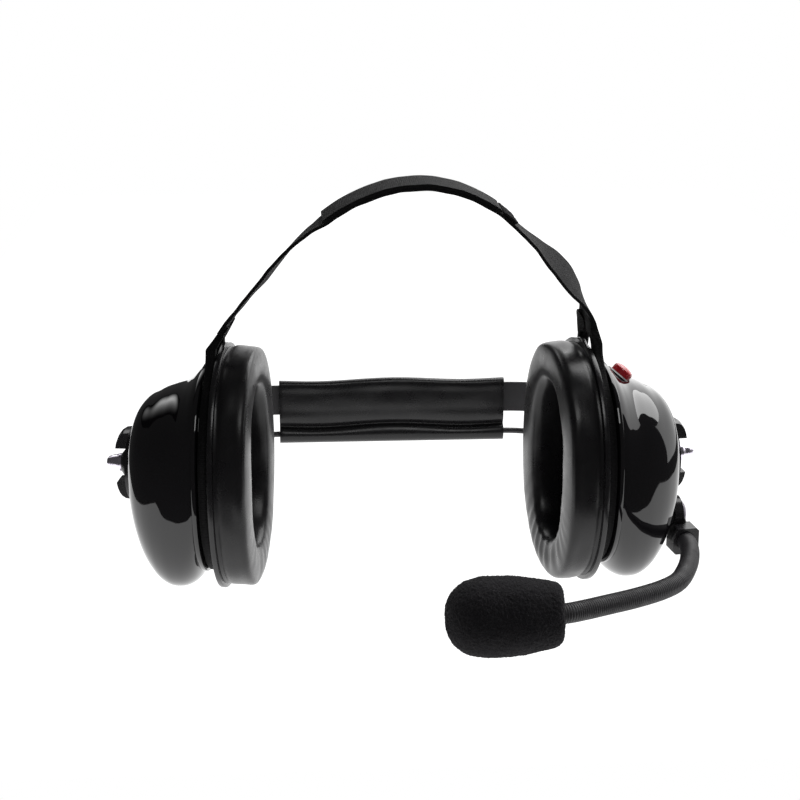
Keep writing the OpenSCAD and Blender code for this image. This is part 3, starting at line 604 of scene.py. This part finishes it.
def inflate(obj, rest, held, pressure, cap, passes=0):
    """Runs a short cloth simulation under inner pressure and moves each vertex as it did, by at
    most cap millimetres. held, 0 to 1, says how firmly each vertex stays."""
    frames = 20
    group = obj.vertex_groups.new(name="held")
    for i, w in enumerate(held):
        if w > 0:
            group.add([i], float(w), "REPLACE")
    cloth = obj.modifiers.new("cloth", "CLOTH")
    cs = cloth.settings
    cs.vertex_group_mass = "held"
    cs.quality = 6
    cs.mass = 0.15
    cs.use_pressure = True
    cs.uniform_pressure_force = pressure
    cs.tension_stiffness = cs.compression_stiffness = 30
    cs.shear_stiffness = 12
    cs.bending_stiffness = 1.2
    cs.effector_weights.gravity = 0
    cloth.collision_settings.use_collision = False
    scene = bpy.context.scene
    cloth.point_cache.frame_start, cloth.point_cache.frame_end = 1, frames
    for f in range(1, frames + 1):
        scene.frame_set(f)
    evaluated = obj.evaluated_get(bpy.context.evaluated_depsgraph_get())
    moved = np.array([v.co for v in evaluated.data.vertices]) - rest
    obj.modifiers.remove(cloth)
    moved = calmed(moved, obj, passes)
    size = np.linalg.norm(moved, axis=1, keepdims=True)
    moved *= np.minimum(1, cap * MM / np.maximum(size, 1e-9))
    obj.data.vertices.foreach_set("co", (rest + moved).astype(np.float32).ravel())
    obj.data.update()
    scene.frame_set(1)


def make_ear_foam(side):
    """Sound-absorbing foam behind the opening: a slab with a pressed, softly dimpled front."""
    count, steps = 96, 26
    half_z, half_y, front_x = 38, 29, 20.6
    flat_z, flat_y = 36.5, 27.5
    edge = [(24.4, 3.2), (23.4, 1.4), (22.4, 0.2), (21.2, 0.3), (20.7, 1.2)]
    ovals = [(x, half_z - inset, half_y - inset) for x, inset in edge]
    ovals += [(front_x, flat_z * (1 - k / steps), flat_y * (1 - k / steps)) for k in range(1, steps)]
    rings = np.array([np.insert(oval(z, -z, y, ROUND_N, count), 0, x, axis=1) for x, z, y in ovals])
    front = rings[len(edge):]
    y, z = front[..., 1], front[..., 2]
    dimples = 0.8 * np.cos(y / 3.1) * np.cos(z / 3.1)
    front[..., 0] += dimples - 1.2 * np.exp(-(y**2 + (z * 0.7) ** 2) / 260)
    slab = loft(f"{side}_ear_foam_pad", on_cup(side, rings), "soft_foam", sharp=80)
    put(slab, [f"{side}_ear_foam"], f"{side}_cup")


def loop_path():
    """The cup's webbing, flat: y, z and half width from one end down, round the groove and up."""
    groove_z, groove_y, open_angle = 44.5, 35.4, 32
    ring = oval(groove_z, -groove_z, groove_y, ROUND_N, 240)
    turn = (np.degrees(np.arctan2(ring[:, 1], ring[:, 0])) - 90) % 360
    ring = ring[np.argsort(turn)]
    turn = np.sort(turn)
    ring = ring[(turn > open_angle) & (turn < 360 - open_angle)][::6]
    down = np.array([[-4.6, 65.2, 3.6], [-5.4, 63.6, 4.9], [-6.6, 60.8, 4.2], [-8.6, 58, 2.9],
                     [-9.4, 55.4, 2.35], [-10.5, 50.5, 2.3], [-13.2, 46.2, 2.2]])
    flat = np.vstack([down, np.insert(ring, 2, 2.1, axis=1), down[::-1] * [-1, 1, 1]])
    return even(smooth_line(np.insert(flat, 2, 0, axis=1), 6), 340)[:, [0, 1, 3]]


def make_loop(side):
    """Webbing loop in the groove. Above the cup its strands lean inward and widen into one web."""
    path = loop_path()
    flat, half = path[:, :2], path[:, 2]
    d = unit(np.gradient(flat, axis=0))
    out = np.stack([d[:, 1], -d[:, 0]], 1)
    mid_x = 17.1
    half_x = 2.25 - 0.95 * np.clip((flat[:, 1] - 56) / 9, 0, 1)
    rim = [(-1, -0.6), (-0.85, -1), (-0.4, -1), (0, -1), (0.4, -1), (0.85, -1), (1, -0.6)]
    sect = rim + [(-a, -b) for a, b in rim]
    along = np.r_[0, np.cumsum(np.linalg.norm(np.diff(flat, axis=0), axis=1))]
    lean = math.radians(LOOP_LEAN[side])
    verts, weave = [], []
    for i in range(len(flat)):
        wob = 0.3 * noise.noise(Vector((along[i] / 11, 0.5, 1.0)))
        for a, b in sect:
            y, z = flat[i] + out[i] * (b * half[i] + wob)
            above = max(z - LOOP_BEND_Z, 0)
            x = mid_x + a * half_x[i] - above * math.sin(lean)
            verts.append([x, y, z - above * (1 - math.cos(lean))])
            weave.append([b * half[i] * 1.3 + a, along[i]])
    rings = on_cup(side, verts).reshape(len(flat), len(sect), 3)
    loop = loft(f"{side}_cup_webbing", rings, "webbing", sharp=70, weave=weave)
    put(loop, [f"{side}_strap_loop"], f"{side}_cup")


for cup in ("left", "right"):
    make_dome(cup)
    make_plate(cup)
    make_seal(cup)
    make_ear_foam(cup)
    make_loop(cup)


# ---------------------------------------------------------------- overhead strap


def crown_rows(x0, x1, offset, width, thick):
    """Rows for a strap layer that lies offset above the strap's centre line."""
    line = smooth_line(np.array([[x, 0, z] for x, z in STRAP]), 24)
    line = line[(line[:, 0] >= x0) & (line[:, 0] <= x1)]
    line = even(line, int(length_of(line) / 1.1))
    d = unit(np.gradient(line, axis=0))
    up = np.stack([-d[:, 2], 0 * d[:, 0], d[:, 0]], 1)
    form = np.tile([width, thick, 0.0], (len(line), 1))
    return np.hstack([line + up * offset, form])


def make_top_strap():
    """The upper layer of the strap's overlap."""
    verts, weave = ribbon(crown_rows(-34.6, 40, 0.75, 23.4, 1.35), across=12, wave=0.25, seed=4)
    top = loft("strap_top_webbing", verts, "webbing", sharp=60, weave=weave)
    put(top, ["strap_top_layer"], "strap_crown")


make_top_strap()


def make_hook_patch():
    """Short hook tape with a rough, fuzzy face and frayed edges."""
    rows = even(crown_rows(40.3, 46.4, 0.75, 22, 1.3), 18)
    verts, weave = ribbon(rows, across=40, wave=0.3, seed=2)
    noise.seed_set(5)  # without a seed, noise_vector follows the clock
    fuzz = 0.45 * np.array([noise.noise_vector(Vector(p * 1.7)) for p in verts.reshape(-1, 3)])
    patch = loft("strap_hook_tape", verts + fuzz.reshape(verts.shape), "hook_fabric", sharp=80, weave=weave)
    put(patch, ["strap_hook_patch"], "strap_crown")


make_hook_patch()


def make_under_strap():
    """The long under layer from cup to cup. It is cut into pieces where it passes from one body to the next.
    """
    right = smooth_line(RIGHT_LEG, 16)[::-1] * [1, 1, 1, 1, 1, -1]
    left = smooth_line(LEFT_LEG, 16)
    rows = np.vstack([right[:-1], crown_rows(-35.2, 46.6, -0.7, 23, 1.4), left[1:]])
    rows = even(rows, int(length_of(rows) / 1.2))
    for _ in range(6):
        rows[1:-1] = (rows[:-2] + 2 * rows[1:-1] + rows[2:]) / 4
    verts, weave = ribbon(rows, across=14, wave=0.35, seed=1)
    crown_from, crown_to = -36, 47.3
    first = int(np.argmin(np.abs(rows[:, 0] - crown_from)))
    last = int(np.argmin(np.abs(rows[:, 0] - crown_to)))

    def part(name, a, b, cap_first=False, cap_last=False):
        """The stretch from row a to row b as a piece."""
        stretch = slice(a, b + 1)
        return loft(name, verts[stretch], "webbing", 70, weave[stretch], (cap_first, cap_last))

    put(part("strap_under_webbing", first, last), ["strap_under_layer"], "strap_crown")
    for side, near, far in (("right", first, 0), ("left", last, len(rows) - 1)):
        chain = ["strap_crown", "rear_band", f"{side}_arm", f"{side}_cup"]
        cuts = [round(near + (far - near) * k / 3) for k in range(4)]
        for k in range(3):
            a, b = sorted(cuts[k:k + 2])
            leg = part(f"{side}_strap_leg_{k + 1}", a, b, a == 0, b == len(rows) - 1)
            put(leg, [f"{side}_strap_leg"] if k == 0 else [], (chain[k], chain[k + 1]),
                rows[cuts[k], :3])


make_under_strap()


# ---------------------------------------------------------------- rear band and leads


def sleeve_edges(x):
    """How far the sleeve's top edge and its seam wander up and down, at x across it."""
    wave = np.cos(2 * math.pi * x / 78.0) * np.exp(-((x / 62.0) ** 4))
    return 0.75 * wave, 0.85 * wave


SLEEVE_FRONT, SLEEVE_MID, SLEEVE_BACK = 97.3, 100, 102.6  # along Y
SEAM_Z = -13.0  # seam between the sleeve's pocket and the cable's tube


def sleeve_outline(count):
    """Evenly spaced points (y, z) round the pocket and, below its seam, the cable's tube."""
    front, back, tube_y, tube_z, r = SLEEVE_FRONT, SLEEVE_BACK, 100.5, -17.4, 4.5
    pocket = [[back, -11.6], [back + 0.1, -4], [back + 0.1, 4], [back - 0.1, 8.6], [back - 0.5, 9.7],
              [back - 1.6, 10.1], [front + 1.4, 10.1], [front + 0.4, 9.8], [front, 8.9],
              [front - 0.1, 4], [front - 0.1, -4],
              [front + 0.3, -10.3], [front + 1.7, -12.3], [front + 2.3, SEAM_Z]]
    round_tube = [[tube_y + r * math.sin(math.radians(a)), tube_z + r * math.cos(math.radians(a))]
                  for a in range(-38, -325, -17)]
    outline = np.array([*pocket, *round_tube, [back - 1.0, SEAM_Z - 0.1]])
    overlap, steps = 2, 6
    closed = np.vstack([outline[-overlap:], outline, outline[:overlap]])
    trim = overlap * steps
    dense = smooth_line(np.insert(closed, 2, 0, axis=1), steps)[trim:-trim]
    return even(dense, count, closed=True)[:, :2]


def make_sleeve():
    """Vinyl sleeve of the rear pad: a puffed pocket, a pressed seam and the cable's tube below it."""
    outline = sleeve_outline(120)
    in_front = outline[:, 0] < SLEEVE_MID
    end_band = 1.2
    xs = np.linspace(-HINGE_X, HINGE_X, 120)
    verts = np.empty((len(xs), len(outline), 3))
    for i, x in enumerate(xs):
        high, seam = sleeve_edges(x)
        y, z = outline.T
        up = np.clip((z - SEAM_Z) / 23, 0, 1)
        z = z + up * high + np.exp(-(((z - SEAM_Z) / 3.5) ** 2)) * seam * (1 - up)
        puffed = np.exp(-((x / 30.0) ** 2)) * np.exp(-(((z + 1.5) / 7.0) ** 2))
        y = y - in_front * 0.5 * puffed
        dents = np.array([noise.noise(Vector((x / 15, q / 8, 3))) for q in z])
        y = y + 0.3 * dents * in_front * up
        ends = np.clip((abs(x) - (HINGE_X - end_band)) / end_band, 0, 1) ** 2
        y = SLEEVE_MID + (y - SLEEVE_MID) * (1 - 0.06 * ends)
        verts[i] = np.stack([np.full(len(y), x), y, z], 1)
    sleeve = loft("rear_sleeve_skin", verts, "sleeve_vinyl", sharp=60)
    rest = np.array([v.co for v in sleeve.data.vertices])
    x, z = np.abs(rest[:, 0]) / MM, rest[:, 2] / MM
    at_seam, at_ends, at_top = 1 - (z - SEAM_Z) / 3.0, (x - 50) / 6, (z - 8.0) / 1.5
    held = sum(np.clip(share, 0, 1) for share in (at_seam, at_ends, at_top))
    inflate(sleeve, rest, np.clip(held, 0, 1), pressure=1.2, cap=0.5, passes=90)
    put(sleeve, ["band_sleeve", "band_foam"], "rear_band")
    x = np.linspace(-HINGE_X + 0.2, HINGE_X - 0.2, 110)
    path = np.stack([x, np.full(len(x), SLEEVE_FRONT + 2.2), SEAM_Z + sleeve_edges(x)[1]], 1)
    welt = loft("rear_sleeve_piping", tube(path, 0.5, 12), "sleeve_vinyl")
    put(welt, [], "rear_band")


make_sleeve()


def make_arm(side):
    """Spring strip from the rear sleeve to the cup's stud: an arc, a straight run and a round end."""
    stud = np.array([FACE_X + STRIP_X * math.cos(TOE), STRIP_X * math.sin(TOE)])
    across, back = stud[0] - HINGE_X, BAND_Y - stud[1]
    c, s = math.cos(TOE), math.sin(TOE)
    arc_r = (across * c - back * s) / (1 - s)
    a = np.linspace(math.pi / 2, TOE, 60)
    arc = np.stack([HINGE_X + arc_r * np.cos(a), BAND_Y - arc_r + arc_r * np.sin(a)], 1)
    lead_in = np.stack([np.linspace(HINGE_X - 5, HINGE_X, 6), np.full(6, BAND_Y)], 1)[:-1]
    end_r = STRIP_H / 2
    line = np.vstack([lead_in, arc, stud + [end_r * s, -end_r * c]])
    line = even(np.insert(line, 2, 0, axis=1), 150)
    along = np.r_[0, np.cumsum(np.linalg.norm(np.diff(line, axis=0), axis=1))]
    left = along[-1] - along
    rounded = np.sqrt(np.clip(end_r**2 - (end_r - left) ** 2, 0.02, None))
    half = np.where(left < end_r, rounded, end_r)
    d = unit(np.gradient(line, axis=0))
    out = np.stack([-d[:, 1], d[:, 0], 0 * d[:, 0]], 1)
    up = np.array([0.0, 0.0, 1.0])
    near = [(-1, -0.5), (-0.985, -1), (-0.5, -1), (0, -1), (0.5, -1), (0.985, -1), (1, -0.5)]
    sect = near + [(-a, -b) for a, b in near]
    rings = np.array([[p + up * a * h + o * b * STRIP_T / 2 for a, b in sect]
                      for p, h, o in zip(line, half, out)])
    if side == "right":
        rings, line = mirrored(rings), mirrored(line)
    arm = loft(f"{side}_spring_strip", rings, "spring_steel", sharp=40)
    put(arm, [f"{side}_band_arm"], ("rear_band", f"{side}_arm"), line[6])


def make_side_lead(side):
    """Cable from the rear sleeve's tube to the cup, in two pieces."""
    path = even(smooth_line(np.array(LEAD, float), 10), 90)
    path[:, 2] -= 0.6 * np.sin(np.linspace(0, math.pi, len(path)))
    if side == "right":
        path = mirrored(path)
    rings = tube(path, LEAD_R, 16)
    grip, cut, end = 8, 50, len(path) - 1
    for k, (a, b, bend_from, bodies, nodes) in enumerate([
        (0, cut, grip, ("rear_band", f"{side}_arm"), [f"{side}_lead"]),
        (cut, end, cut, (f"{side}_arm", f"{side}_cup"), []),
    ]):
        lead = loft(f"{side}_lead_{k + 1}", rings[a:b + 1], "lead_jacket", caps=(k == 0, k == 1))
        put(lead, nodes, bodies, path[bend_from])


for cup in ("left", "right"):
    make_arm(cup)
    make_side_lead(cup)


# ---------------------------------------------------------------- microphone boom


def make_boom():
    """Ribbed flexible boom in two pieces that meet where the CAD's halves meet."""
    steps, pitch, rows_per_rib, groove = 24, 1.05, 6, 0.26
    fine = smooth_line(np.array(BOOM, float), steps)
    meet = steps * BOOM_MEET
    for name, part, bodies, span in (
        ("gooseneck_root", fine[:meet + 1], ("boom_swivel", "boom_flex"), (0.25, 1.0)),
        ("gooseneck_tip", fine[meet:], ("boom_flex", "boom_tip"), (0.0, 0.75)),
    ):
        ribs = round(length_of(part) / pitch)
        path = even(part, ribs * rows_per_rib + 1)
        phase = np.arange(len(path)) / rows_per_rib * 2 * math.pi
        radius = BOOM_R - groove * (0.5 + 0.5 * np.cos(phase)) ** 1.6
        boom = loft(f"{name}_ribbed", tube(path, radius, 28), "boom_rubber", sharp=80)
        start, end = (path[int(f * (len(path) - 1))] for f in span)
        put(boom, [name], bodies, start)


make_boom()


def windscreen_profile(count):
    """Evenly spaced points (radius, station) from the boom's hole over the barrel to the tip."""
    half, r, widest = FOAM_LEN / 2, FOAM_D / 2, 6.0
    a = np.radians(np.linspace(0, 88, 60))
    tip = np.stack([r * np.cos(a) ** (2 / FOAM_N), widest + (half - widest) * np.sin(a) ** (2 / FOAM_N)], 1)
    barrel = np.array([[4.25, 4 - half], [4.5, 1.2 - half], [5.6, 0.25 - half], [8.0, -half],
                       [0.66 * r, 0.05 - half], [0.735 * r, 0.5 - half], [0.785 * r, 1.4 - half],
                       [0.83 * r, 3.2 - half], [0.89 * r, 7.4 - half], [0.95 * r, 13 - half],
                       [0.985 * r, 20 - half]])
    flat = np.insert(np.vstack([barrel, tip]), 2, 0, axis=1)
    return even(smooth_line(flat, 3), count)[:, :2]


def make_windscreen():
    """Foam over the microphone: a lumpy barrel, round at its tip and narrower where the boom enters."""
    count = 200
    turn = np.linspace(0, 2 * math.pi, count, endpoint=False)

    def spun(line):
        """Rows (radius, station) as rings of (up, side, station)."""
        return np.stack([line[:, :1] * np.cos(turn), line[:, :1] * np.sin(turn),
                         np.repeat(line[:, 1:], count, axis=1)], -1)

    profile = windscreen_profile(190)
    slope = np.gradient(profile, axis=0)
    normal = spun(unit(np.stack([slope[:, 1], -slope[:, 0]], 1)))
    local = spun(profile)
    for depth, size, seed in ((0.6, 15.0, 4), (0.22, 5.0, 9), (0.32, 0.9, 2), (0.2, 0.45, 7)):
        local = rough_up(local, normal, depth, size, seed)
    c, s = math.cos(MIC_PITCH), math.sin(MIC_PITCH)
    axis, side, up = np.array([-c, 0, -s]), np.array([0, 1, 0]), np.array([-s, 0, c])
    verts = MIC_AT + local[..., :1] * up + local[..., 1:2] * side + local[..., 2:] * axis
    ball = loft("windscreen_foam_ball", verts, "windscreen_foam", sharp=180)
    put(ball, ["windscreen"], "boom_tip")


make_windscreen()


# ---------------------------------------------------------------- floor and lights

FLOOR_Z = -0.075
ROOM_R = 1.15


def glow(name, strength, soft=False):
    """An even glow, or one that fades from the middle of its card to the rim."""
    mat = bpy.data.materials.new(name)
    mat.use_nodes = True
    tree = mat.node_tree
    tree.nodes.clear()
    emit = tree.nodes.new("ShaderNodeEmission")
    emit.inputs["Strength"].default_value = strength
    if soft:
        where = tree.nodes.new("ShaderNodeTexCoord")
        middle = tree.nodes.new("ShaderNodeMapping")
        middle.inputs["Location"].default_value = (-1, -1, 0)
        middle.inputs["Scale"].default_value = (2, 2, 0)
        fade = tree.nodes.new("ShaderNodeTexGradient")
        fade.gradient_type = "QUADRATIC_SPHERE"
        times = tree.nodes.new("ShaderNodeMath")
        times.operation = "MULTIPLY"
        times.inputs[1].default_value = strength
        tree.links.new(where.outputs["Generated"], middle.inputs["Vector"])
        tree.links.new(middle.outputs[0], fade.inputs[0])
        tree.links.new(fade.outputs["Fac"], times.inputs[0])
        tree.links.new(times.outputs[0], emit.inputs["Strength"])
    tree.links.new(emit.outputs[0], tree.nodes.new("ShaderNodeOutputMaterial").inputs[0])
    return mat


def stage_piece(name, verts, faces, mat, seen=False):
    """A piece of the studio in metres. The camera sees it only if seen is true."""
    mesh = bpy.data.meshes.new(name)
    mesh.from_pydata(verts, [], faces)
    mesh.materials.append(mat)
    obj = bpy.data.objects.new(name, mesh)
    bpy.context.scene.collection.objects.link(obj)
    obj.visible_camera = seen
    return obj


def flat_card(name, x, y, z, mat, seen=False):
    """A level card over the ranges x and y at height z."""
    corners = [(x[0], y[0], z), (x[1], y[0], z), (x[1], y[1], z), (x[0], y[1], z)]
    return stage_piece(name, corners, [(0, 1, 2, 3)], mat, seen)


def round_wall(name, start, stop, low, high, mat):
    """A curved card that stands round the part from one bearing to another (0 is +Y, 90 is +X)."""
    count = 33
    bearings = np.radians(np.linspace(start, stop, count))
    verts = [(ROOM_R * math.sin(b), ROOM_R * math.cos(b), z) for z in (low, high) for b in bearings]
    faces = [(i, i + 1, i + 1 + count, i + count) for i in range(count - 1)]
    return stage_piece(name, verts, faces, mat)


def backdrop():
    """A large white shell that only the camera sees, so that the floor has no edge."""
    bm = bmesh.new()
    bmesh.ops.create_icosphere(bm, subdivisions=4, radius=6)
    verts = [tuple(v.co) for v in bm.verts]
    faces = [tuple(v.index for v in f.verts) for f in bm.faces]
    bm.free()
    obj = stage_piece("backdrop", verts, faces, glow("backdrop_white", 1.0), seen=True)
    for kind in ("diffuse", "glossy", "transmission", "volume_scatter", "shadow"):
        setattr(obj, f"visible_{kind}", False)


flat_card("floor", (-0.3, 0.4), (-0.14, 1.1), FLOOR_Z, glow("floor_white", 1.25), seen=True)
backdrop()
round_wall("wall_back_right", -6, 98, FLOOR_Z, 0.62, glow("wall_white", 1.5))
flat_card("softbox_right", (0.12, 1.15), (0.03, 1.0), 0.62, glow("softbox_right_white", 4.2))
flat_card("softbox_back", (-1.1, 0.2), (0.15, 1.3), 0.66, glow("softbox_back_white", 3.6, soft=True))


def area_light(name, at, size, power):
    """A rectangular lamp that points at the origin."""
    data = bpy.data.lights.new(name, "AREA")
    data.shape = "RECTANGLE"
    data.size, data.size_y = size
    data.energy = power
    lamp = bpy.data.objects.new(name, data)
    lamp.location = at
    lamp.rotation_mode = "QUATERNION"
    lamp.rotation_quaternion = (-Vector(at)).to_track_quat("-Z", "Y")
    lamp.visible_camera = False
    bpy.context.scene.collection.objects.link(lamp)


area_light("front_fill", (0.15, -0.9, 0.75), (0.5, 0.4), 2.2)

world = bpy.data.worlds.new("room")
world.use_nodes = True
bpy.context.scene.world = world
room = world.node_tree
room.nodes.clear()
dim = room.nodes.new("ShaderNodeBackground")
dim.inputs["Strength"].default_value = 0.06
room.links.new(dim.outputs[0], room.nodes.new("ShaderNodeOutputWorld").inputs[0])
bpy.context.scene.view_settings.view_transform = "Standard"
